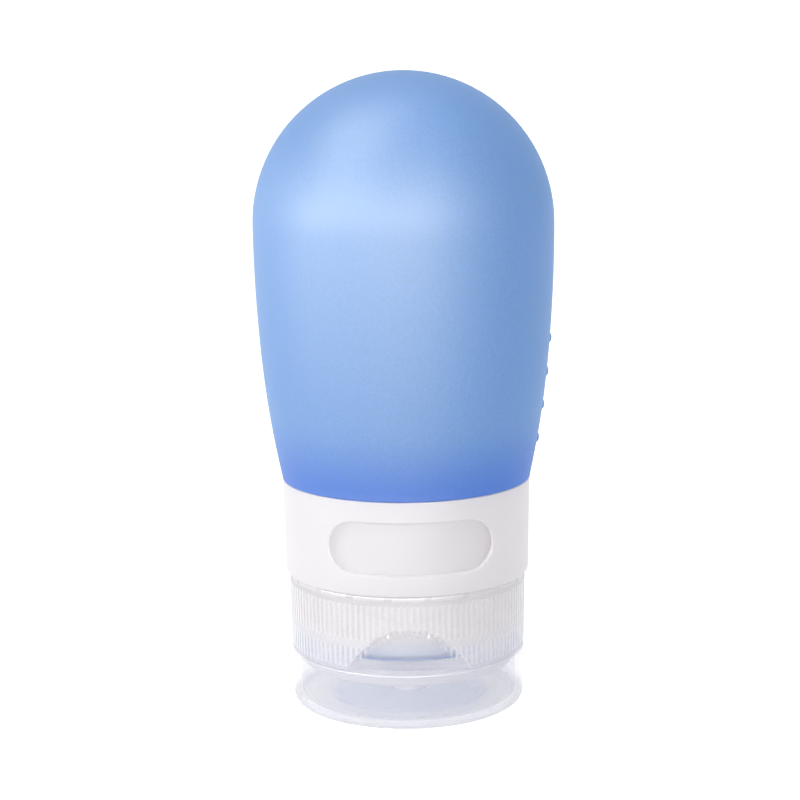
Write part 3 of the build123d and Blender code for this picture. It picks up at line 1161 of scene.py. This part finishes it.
@dataclass(frozen=True)
class WindowCollar(SubAssembly):
    """The turning collar with its window, and the fixed contents ring behind it."""

    radius: float = 18.2
    flare: float = 0.25
    wall: float = 1.0
    lip_in: float = 16.45
    lip_thick: float = 1.0
    lip_drop: float = 0.15
    edge: float = 0.3
    lip_round: float = 0.15
    inner_round: float = 0.2
    wall_reach: tuple[float, float] = (0.1, 0.9)
    wall_rows: int = 9
    window_width: float = 24.0
    window_height: float = 8.3
    window_corner: float = 3.9
    window_rise: float = 6.8
    window_turn: float = 2.0
    window_lip: float = 0.3
    lip_steps: int = 4
    corner_steps: int = 12
    straight_steps: int = 40
    column_count: int = 240

    def shell(self) -> Piece:
        """Makes the collar before its window is cut.

        Returns:
            The collar.
        """
        low, high = height_of("collar", False) - self.lip_drop, height_of("collar", True)
        lip_z = low + self.lip_drop + self.lip_thick
        inner = self.radius - self.wall
        rows = [(self.radius + self.flare * share, low + (high - low) * share)
                for share in np.linspace(*self.wall_reach, self.wall_rows)]
        outline = rounded([
            (self.lip_in, low, self.lip_round),
            (self.radius, low, self.edge),
            *rows,
            (self.radius + self.flare, high, self.edge / 2),
            (inner, high, self.inner_round),
            (inner, lip_z, self.lip_round),
            (self.lip_in, lip_z, self.lip_round),
        ], closed=True)
        columns = np.linspace(0, 360, self.column_count, endpoint=False)
        grid = PolarMesh.turned(outline, columns, capped=False)
        return new_object("window_collar", grid.mesh("window_collar"))

    def window_outline(self, spread: float) -> Outline:
        """Rounded oblong of the window, widened by spread.

        Args:
            spread: How far the outline moves out, in millimetres.

        Returns:
            Points (across, up) from the window's centre.
        """
        corner = self.window_corner + spread
        half_w = self.window_width / 2 - self.window_corner
        half_h = self.window_height / 2 - self.window_corner
        top = np.linspace(half_w, -half_w, self.straight_steps + 1)[1:-1]
        points = []
        for side in (1, -1):
            start = 90 - 90 * side
            first, second = (side * half_w, side * half_h), (-side * half_w, side * half_h)
            points += arc_points(first, corner, start, start + 90, self.corner_steps)
            points += [(side * across, side * (half_h + corner)) for across in top]
            points += arc_points(second, corner, start + 90, start + 180, self.corner_steps)
        return points

    def window_cutter(self) -> Piece:
        """Makes the tool that cuts the window and rounds its lip where it meets the collar's outside.

        Returns:
            The tool.
        """
        low, high = height_of("collar", False), height_of("collar", True)
        centre_z = low + self.window_rise
        outer = self.radius + self.flare * self.window_rise / (high - low)
        turns = [math.radians(a) for a in np.linspace(0, 90, self.lip_steps + 1)]
        lip = [(outer - self.window_lip * (1 - math.sin(a)), -self.window_lip * math.cos(a)) for a in turns]
        behind = math.sqrt((self.radius - self.wall) ** 2 - (self.window_width / 2) ** 2) - self.wall
        ahead = outer + self.wall
        loops = [(behind, -self.window_lip, True), *[(reach, spread, False) for reach, spread in lip],
                 (ahead, self.window_lip, True)]
        work = bmesh.new()
        rings = []
        for reach, spread, flat in loops:
            ring = []
            for across, up in self.window_outline(spread):
                side = reach if flat else math.sqrt(reach ** 2 - across ** 2)
                ring.append(work.verts.new(Vector((across, -side, centre_z + up)) * MM))
            rings.append(ring)
        for inner, outer_ring in zip(rings, rings[1:]):
            for a in range(len(inner)):
                b = (a + 1) % len(inner)
                work.faces.new((inner[a], inner[b], outer_ring[b], outer_ring[a]))
        work.faces.new(rings[0])
        work.faces.new(list(reversed(rings[-1])))
        turned = Matrix.Rotation(math.radians(self.window_turn), 3, "Z")
        bmesh.ops.rotate(work, matrix=turned, verts=work.verts)
        bmesh.ops.recalc_face_normals(work, faces=work.faces)
        mesh = bpy.data.meshes.new("window_cutter")
        work.to_mesh(mesh)
        work.free()
        return new_object("window_cutter", mesh)

    def build(self) -> list[Piece]:
        """Makes the collar and dresses the ring behind it.

        Returns:
            Both pieces.
        """
        piece = self.shell()
        combine(piece, self.window_cutter(), "DIFFERENCE")
        piece.modifiers.new("even_shading", "WEIGHTED_NORMAL").keep_sharp = True
        solid_white = WhitePolypropylene(name="white_polypropylene_thick_moulded", light_through=0.0)
        return [self.dress(piece, WhitePolypropylene(), Body.COLLAR, Slot.WHITE, "collar"),
                self.dress_node("contents_ring", solid_white, Slot.WHITE)]


@dataclass(frozen=True)
class HingeLug:
    """Block behind the cap and the lid that the living hinge hangs on."""

    width: float = 11.0
    height: float = 2.4
    stand_out: float = 0.4
    edge: float = 0.15

    def join(self, piece: Piece, wall_radius: float, inset: float, low_z: float, crease: float) -> None:
        """Joins the lug to a piece.

        Args:
            piece: Cap or lid.
            wall_radius: Outer radius of its wall.
            inset: How deep the lug reaches into the wall.
            low_z: Height of the lug's underside.
            crease: Angle between faces over which an edge stays sharp.
        """
        low = Vector((-self.width / 2, wall_radius - inset, low_z))
        high = Vector((self.width / 2, wall_radius + self.stand_out, low_z + self.height))
        combine(piece, rounded_block(low, high, self.edge), "UNION", crease)


class RingRow(NamedTuple):
    """One ring of the cap's mesh, with a value of each kind for each of its columns."""

    angle: np.ndarray
    radius: np.ndarray
    height: np.ndarray
    thickness: np.ndarray
    polish: np.ndarray
    scoop: np.ndarray


@dataclass(frozen=True)
class ScrewCap(SubAssembly):
    """The frosted cap base with its ribbed skirt, crown and finger scoop, and what it holds."""

    deck_radius: float = 15.8
    deck_wall: float = 1.1
    deck_thick: float = 1.1
    deck_rise: float = 2.5
    deck_edge: float = 0.5
    deck_thickness: float = 0.6
    orifice: float = 1.8
    radius: float = 17.5
    flare: float = 0.2
    skirt_height: float = 11.4
    skirt_wall: float = 1.0
    scoop_height: float = 6.5
    scoop_depth: float = 2.6
    scoop_wall: float = 0.8
    scoop_rows: int = 26
    scoop_clear: tuple[float, float] = (0.6, 2.3)
    scoop_blend: tuple[float, float] = (-0.02, 0.06)
    scoop_highlight_width: float = 0.11
    scoop_foot_thickness: float = 0.55
    backing_rise: float = 1.0
    backing_share: float = 0.9
    backing_blend: float = 0.1
    rib_count: int = 120
    rib_height: float = 0.4
    rib_width: float = 0.45
    rib_tip_share: float = 0.8
    rib_foot: float = 0.6
    rib_end: float = 0.15
    rib_end_thickness: float = 0.9
    lower_rib: float = 3.0
    rib_gap: float = 1.2
    rib_gap_thickness: float = 0.6
    upper_rib: float = 5.2
    crown_count: int = 19
    crown_depth: float = 0.6
    crown_notch: float = 1.1
    crown_notch_edge: float = 0.08
    crown_skin: float = 0.35
    crown_skin_slope: float = 0.04
    crown_band: float = 1.3
    crown_polish: float = 0.25
    crown_thickness: float = 0.12
    crown_edge: tuple[tuple[float, float], ...] = ((0.0, 0.12), (0.035, 0.035), (0.12, 0.0))
    corner: float = 0.15
    deck_corner: float = 0.25
    deck_gap: float = 0.1
    skirt_corner: tuple[tuple[float, float], ...] = ((0.05, 0.04), (0.18, 0.0))
    row_gap: float = 0.05
    band_gap: float = 0.1
    crown_gap: float = 0.2
    upper_rows: int = 6
    upper_rib_rows: int = 8
    lower_rib_rows: int = 4
    crease: float = 0.07
    crease_angle: float = 40.0
    straight_band: float = 1.2
    fade_angle: float = 62.0
    least_edge_angle: float = 0.35
    least_cosine: float = 0.2
    near_columns: tuple[float, float] = (2.4, 1.0)
    near_shares: tuple[float, float] = (0.6, 0.3)

    @property
    def deck_z(self) -> float:
        """Height of the deck's outer face."""
        return height_of("cap_base", False)

    @property
    def skirt_z(self) -> float:
        """Height of the skirt's lower end."""
        return self.deck_z + self.deck_rise

    @property
    def top_z(self) -> float:
        """Height of the skirt's crown."""
        return self.skirt_z + self.skirt_height

    @property
    def deck_in(self) -> float:
        """Inner radius of the deck's wall."""
        return self.deck_radius - self.deck_wall

    def rib_rows(self) -> tuple[tuple[float, float], tuple[float, float]]:
        """Works out where the ribs stand.

        Returns:
            Low and high end of the lower row and of the upper row.
        """
        low_end = self.skirt_z + self.rib_foot + self.lower_rib
        high_start = low_end + self.rib_gap
        return (self.skirt_z + self.rib_foot, low_end), (high_start, high_start + self.upper_rib)

    def columns(self) -> np.ndarray:
        """Places the columns: each rib has its root, its tip and the gap's middle.

        Returns:
            The columns' angles in degrees.
        """
        pitch = 360 / self.rib_count
        half = self.rib_width / 2 * math.degrees(1 / (self.radius - self.skirt_wall))
        tip = half * self.rib_tip_share
        offsets = np.array([-half, -tip, tip, half, pitch / 2])
        start = -180 + np.arange(self.rib_count) * pitch + pitch / 2
        return (start[:, None] + offsets[None, :]).reshape(-1)

    def wall_radius(self, z: float) -> float:
        """Outer radius of the skirt at a height."""
        return self.radius + self.flare * (z - self.skirt_z) / self.skirt_height

    def scoop_face(self, z: float, inset: float = 0.0) -> float:
        """Distance from the axis to the scoop's slanted face at a height.

        Args:
            z: Height in millimetres.
            inset: How far behind the face, 0 for the outside.

        Returns:
            The distance along -Y.
        """
        rise = max(z - self.skirt_z, 0.0) / self.scoop_height
        return self.radius - self.scoop_depth * (1 - rise) - inset

    def scoop_edge(self, z: float) -> float:
        """Angle of the scoop's edge at a height, nothing where its face stands outside the wall."""
        return math.degrees(math.acos(min(self.scoop_face(z) / self.wall_radius(z), 1.0)))

    def along(self, angle: np.ndarray, distance: float) -> np.ndarray:
        """Distance from the axis to a flat face at each angle, the face standing across -Y."""
        return distance / np.maximum(np.cos(np.radians(angle)), self.least_cosine)

    def warped(self, columns: np.ndarray, z: float) -> np.ndarray:
        """Moves the columns of a row so that one follows the scoop's edge and two lie close on each side.

        Args:
            columns: Angles of the columns.
            z: Height of the row.

        Returns:
            The angles in that row.
        """
        straight_z = self.top_z - self.straight_band
        if z >= straight_z:
            return columns
        side = np.abs(columns)
        foot = math.degrees(math.acos(self.scoop_face(self.skirt_z) / self.radius))
        order = np.sort(side[columns >= 0])
        nearest = int(np.argmin(np.abs(order - foot)))
        apex = self.skirt_z + self.scoop_height
        edge = self.scoop_edge(z) if z < apex else foot * float(smooth_step(np.array(z), apex, straight_z))
        edge = max(edge, self.least_edge_angle)
        near = np.array(self.near_columns) * math.degrees(self.crease / self.radius)
        far, close = np.minimum(near, edge * np.array(self.near_shares))
        known = [0.0, *order[nearest - 2:nearest + 3], self.fade_angle, 180.0]
        moved = [0.0, edge - far, edge - close, edge, edge + close, edge + far, self.fade_angle, 180.0]
        return np.sign(columns) * np.interp(side, known, moved)

    def outside(self, columns: np.ndarray) -> list[RingRow]:
        """Skirt's outside from the bottom edge up to the crown.

        Args:
            columns: Angles of the columns.

        Returns:
            The rows.
        """
        apex = self.skirt_z + self.scoop_height
        band_z = self.top_z - self.crown_band
        rises = 1 - np.linspace(1, 0, self.scoop_rows) ** 2
        heights = [self.skirt_z + self.scoop_height * rise for rise in rises]
        heights += list(np.linspace(apex, band_z, self.upper_rows + 1)[1:])
        heights += [band_z + self.band_gap, self.top_z - self.crown_depth - self.row_gap]
        clear_low, clear_high = (self.skirt_z + rise for rise in self.scoop_clear)
        rows = []
        for z in heights:
            angle = self.warped(columns, z)
            wall = np.full_like(angle, self.wall_radius(z))
            face = self.along(angle, self.scoop_face(z)) if z < apex else wall + self.skirt_wall
            overlap = np.maximum(self.crease - np.abs(wall - face), 0.0)
            radius = np.minimum(wall, face) - overlap ** 2 / (4 * self.crease)
            inside = smooth_step(wall - face, *self.scoop_blend)
            # Painted highlight: a thin white line along the scoop's edge, drawn as full milk thickness
            # without polish.
            away = np.abs(np.abs(angle) - self.scoop_edge(z)) * math.radians(1) * self.radius
            edge_highlight = np.exp(-(away / self.scoop_highlight_width) ** 2) * (z < apex)
            clear = float(smooth_step(np.array(z), clear_low, clear_high))
            polish = inside * (1 - edge_highlight) * clear + self.crown_polish * (z > band_z)
            thickness = np.maximum(edge_highlight, self.scoop_foot_thickness * inside * (1 - clear))
            rows.append(RingRow(angle, radius, np.full_like(angle, z), thickness, polish, inside))
        return rows

    def crown(self, columns: np.ndarray) -> list[RingRow]:
        """Notched crown, from the outside to the inside.

        Args:
            columns: Angles of the columns.

        Returns:
            The rows.
        """
        outer = self.wall_radius(self.top_z)
        inner = outer - self.skirt_wall
        skin = outer - self.crown_skin
        pitch = 360 / self.crown_count
        away = np.abs((columns % pitch) - pitch / 2) * math.radians(1) * outer
        half = self.crown_notch / 2
        notch = 1 - smooth_step(away, half - self.crown_notch_edge, half + self.crown_notch_edge)
        full = np.full_like(columns, self.top_z)
        top = self.top_z - self.crown_depth * notch
        steps = [(outer, full, self.crown_depth - self.row_gap)]
        steps += [(outer - reach, full, drop) for reach, drop in self.crown_edge]
        steps += [(skin + self.crown_skin_slope, full, 0.0), (skin, top, 0.0)]
        steps += [(inner + reach, top, drop) for reach, drop in reversed(self.crown_edge)]
        marks = (self.crown_thickness * (1 - notch), self.crown_polish * notch, np.zeros_like(columns))
        return [RingRow(columns, np.full_like(columns, reach), level - drop, *marks)
                for reach, level, drop in steps]

    def inside(self, columns: np.ndarray) -> list[RingRow]:
        """Inside from the crown down to the deck, with the ribs and the scoop's backing.

        Args:
            columns: Angles of the columns.

        Returns:
            The rows.
        """
        pitch = 360 / self.rib_count
        skirt_in = self.radius - self.skirt_wall
        floor_z = self.skirt_z + self.deck_thick
        away = np.abs((columns % pitch) - pitch / 2) * math.radians(1) * skirt_in
        tip = self.rib_width / 2 * self.rib_tip_share
        tooth = 1 - np.clip((away - tip) / (self.rib_width / 2 - tip), 0, 1)
        (_, low_end), (high_start, high_end) = self.rib_rows()
        end = self.rib_end
        heights = [self.top_z - self.crown_depth - self.crown_gap, high_end, high_end - end]
        heights += list(np.linspace(high_end - end, high_start + end, self.upper_rib_rows + 1)[1:])
        heights += [high_start, low_end, low_end - end]
        heights += list(np.linspace(low_end - end, floor_z + self.corner, self.lower_rib_rows + 1)[1:])
        profile = [(self.wall_radius(z) - self.skirt_wall, z) for z in heights]
        profile += [(skirt_in - reach, floor_z + rise) for reach, rise in self.skirt_corner]
        profile += [(self.deck_in + self.deck_gap, floor_z), (self.deck_in, floor_z - self.deck_gap),
                    (self.deck_in, self.skirt_z),
                    (self.deck_in, self.deck_z + self.deck_thick + self.backing_rise)]
        rows = []
        for wall_in, z in profile:
            at_end = z in (high_end, high_start, low_end)
            on_rib = low_end >= z >= floor_z + self.deck_gap or high_end >= z >= high_start
            lift = tooth * (on_rib and not at_end)
            wall = wall_in - self.rib_height * lift
            backing = self.along(columns, self.scoop_face(z, self.scoop_wall))
            radius = np.minimum(wall, backing) if z <= self.skirt_z + self.scoop_height else wall
            behind = smooth_step(wall - radius, 0.0, self.backing_blend)
            between = self.rib_gap_thickness * (low_end <= z <= high_start)
            ribbed = np.maximum(lift, self.rib_end_thickness * tooth * at_end)
            thickness = np.maximum(ribbed, between) * (1 - behind)
            rows.append(RingRow(columns, radius, np.full_like(columns, z), thickness, behind, behind))
        return rows

    def deck(self, columns: np.ndarray) -> list[RingRow]:
        """Deck, from its inside corner through the orifice to the skirt's lower end.

        Args:
            columns: Angles of the columns.

        Returns:
            The rows.
        """
        inner_z = self.deck_z + self.deck_thick
        outline = rounded([
            (self.deck_in, inner_z + self.backing_rise * self.backing_share),
            (self.deck_in, inner_z, self.deck_corner),
            (self.orifice, inner_z, self.corner),
            (self.orifice, self.deck_z, self.corner),
            (self.deck_radius, self.deck_z, self.deck_edge),
            (self.deck_radius, self.skirt_z, self.corner),
            (self.radius, self.skirt_z),
        ])[:-1]
        blank = np.zeros_like(columns)
        marks = (blank + self.deck_thickness, blank, blank)
        return [RingRow(columns, blank + reach, blank + z, *marks) for reach, z in outline]

    def build(self) -> list[Piece]:
        """Makes the cap base and dresses the insert, gasket, valve, neck ring and hinge web.

        Returns:
            The pieces.
        """
        columns = self.columns()
        rows = [*self.outside(columns), *self.crown(columns), *self.inside(columns), *self.deck(columns)]
        ring = RingRow(*(np.array(values) for values in zip(*rows)))
        grid = PolarMesh(ring.angle, ring.radius, ring.height, capped=False)
        grid.marks = {"thickness": ring.thickness, "polish": ring.polish, "scoop": ring.scoop}
        piece = new_object("screw_cap", grid.mesh("screw_cap", self.crease_angle))
        HingeLug().join(piece, self.radius, self.skirt_wall / 2, self.skirt_z, self.crease_angle)
        frosted = RibbedMilkyPlastic(rib_count=self.rib_count, rib_rows=self.rib_rows(), clear_share=0.2)
        painted_insert_blue_band = PaintedBlueCast("#4A8CDA", 0.8, low=9.6, high=9.9)
        held = {
            # Thin natural polypropylene is nearly clear; a thin band of painted blue light on it stands in
            # for the gasket's blue showing in it.
            "threaded_insert": (MilkyPlastic(name="natural_polypropylene_thin_moulded", low_share=0.3,
                                             high_share=0.8, low_z=11.8, high_z=12.8, painted_blue_cast=painted_insert_blue_band),
                                Slot.NATURAL),
            # The thick wall scatters nearly all the light and reads white.
            "neck_ring": (MilkyPlastic(name="natural_polypropylene_thick_moulded", low_share=0.92,
                                       high_share=0.92), Slot.NATURAL),
            "cup_gasket": (SealSilicone(), Slot.SEAL),
            # Unpigmented silicone is half clear and half milk.
            "slit_valve": (MilkyPlastic(name="clear_silicone_moulded", low_share=0.5, high_share=0.5),
                           Slot.VALVE),
            # The web is moulded with the cap and frosted like it.
            "hinge_web": (MilkyPlastic(name="frosted_polypropylene_web_moulded"), Slot.FROSTED),
        }
        return [self.dress(piece, frosted, Body.CAP, Slot.FROSTED, "cap_base"),
                *[self.dress_node(node, finish, slot) for node, (finish, slot) in held.items()]]


@dataclass(frozen=True)
class FlipLid(SubAssembly):
    """The frosted flip lid on which the bottle stands, with its sealing boss and plug."""

    radius: float = 17.5
    draft: float = 0.15
    wall: float = 1.3
    floor: float = 1.1
    edge: float = 1.4
    rim_round: float = 0.18
    rim_depth: float = 0.25
    rim_highlight_thickness: float = 0.5
    floor_round: float = 0.6
    floor_rows: tuple[float, ...] = (14.5, 12.0, 11.25, 10.5, 8.0, 5.0)
    floor_slack: float = 0.1
    clear_ring: tuple[float, float] = (10.5, 12.0)
    clear_gap: float = 1.0
    foot_share: float = 1.4
    foot_fade: tuple[float, float] = (0.4, 2.0)
    foot_thickness: float = 0.55
    boss: float = 2.5
    boss_top: float = 5.9
    boss_slack: float = 0.05
    boss_foot: float = 0.3
    boss_thickness: float = 0.9
    boss_foot_round: float = 0.35
    boss_round: float = 0.2
    plug: float = 1.5
    plug_top: float = 6.9
    plug_foot_round: float = 0.12
    plug_round: float = 0.45
    wall_rises: tuple[float, float] = (0.6, 1.0)
    wall_drops: tuple[float, float] = (0.8, 0.3)
    corner_steps: int = 5
    under_rows: int = 7
    edge_rows: int = 10
    column_count: int = 216

    def outline(self, top: float) -> tuple[Outline, np.ndarray, np.ndarray]:
        """Outline from the middle of the underside round the wall and over the floor to the plug's tip.

        Args:
            top: Height of the rim.

        Returns:
            The points, and the thickness and the polish at each.
        """
        low = self.radius - self.draft
        inner = self.radius - self.wall
        under = arc_points((low - self.edge, self.edge), self.edge, -90, 0, self.edge_rows)
        flat = [(reach, 0.0) for reach in np.linspace(0, low - self.edge, self.under_rows + 1)[:-1]]
        heights = [self.edge + rise for rise in self.wall_rises]
        heights += [top / 2, *(top - drop for drop in self.wall_drops)]
        outer_wall = [(low + self.draft * (z - self.edge) / (top - self.edge), z) for z in heights]
        inner_wall = [(inner - self.draft * (top - z) / (top - self.floor), z) for z in heights[::-1]]
        upper = rounded([
            under[-1],
            *outer_wall,
            (self.radius, top, self.rim_round),
            (inner, top, self.rim_round),
            *inner_wall,
            (inner - self.draft, self.floor, self.floor_round),
            *[(reach, self.floor) for reach in self.floor_rows],
            (self.boss, self.floor, self.boss_foot_round),
            (self.boss, self.boss_top, self.boss_round),
            (self.plug, self.boss_top, self.plug_foot_round),
            (self.plug, self.plug_top, self.plug_round),
            (0.0, self.plug_top),
        ], steps=self.corner_steps)[1:]
        points = [*flat, *under, *upper]
        reach, height = np.array(points).T
        on_boss = (reach <= self.boss + self.boss_slack) & (height > self.floor + self.boss_foot)
        # Painted highlight: a thin white band along the top of the rim, where its edge catches the light.
        rim = (height > top - self.rim_depth) * self.rim_highlight_thickness
        foot = (1 - smooth_step(height, *self.foot_fade)) * (reach > low - self.edge * self.foot_share)
        on_floor = (reach < inner - self.clear_gap) & (height < self.floor + self.floor_slack)
        thickness = np.maximum(np.maximum(on_boss * self.boss_thickness, rim), foot * self.foot_thickness)
        return points, thickness, smooth_step(reach, *self.clear_ring) * on_floor

    def build(self) -> list[Piece]:
        """Makes the flip lid.

        Returns:
            The lid.
        """
        top = height_of("flip_lid", True)
        points, thickness, clear = self.outline(top)
        grid = PolarMesh.turned(points, np.linspace(0, 360, self.column_count, endpoint=False), capped=True)
        grid.marks = {name: np.broadcast_to(values[:, None], grid.radius.shape).copy()
                      for name, values in (("thickness", thickness), ("polish", clear))}
        piece = new_object("flip_top", grid.mesh("flip_top"))
        lug = HingeLug()
        lug.join(piece, self.radius, self.wall / 2, top - lug.height, CREASE)
        # The lid's thin polished walls are clearer than the cap's; its floor carries a painted bluish shade
        # under the deck, where the light comes down blue through the bottle.
        painted_floor_blue_shade = PaintedBlueCast("#A4B3E2", 0.36, low=-1.0, high=1.4, radius=12.8, inner_share=0.82)
        finish = MilkyPlastic(name="frosted_polypropylene_lid_moulded", low_blue_cast_colour="#F6F6FC",
                              high_colour="#F6F6FC", low_share=0.21, high_share=0.21, low_z=6.5, high_z=8.2,
                              clear_share=0.5, painted_blue_cast=painted_floor_blue_shade)
        return [self.dress(piece, finish, Body.LID, Slot.FROSTED, "flip_lid")]


def main() -> None:
    """Builds the studio and the bottle's sub-assemblies in order, and reports each piece."""
    logging.basicConfig(level=logging.INFO, format="%(name)s: %(message)s")
    Studio().build()
    for part in (SqueezeBody(), WindowCollar(), ScrewCap(), FlipLid()):
        for piece in part.build():
            LOG.info("%s: %s, %d faces", type(part).__name__, piece.name, len(piece.data.polygons))


if __name__ == "__main__":
    main()
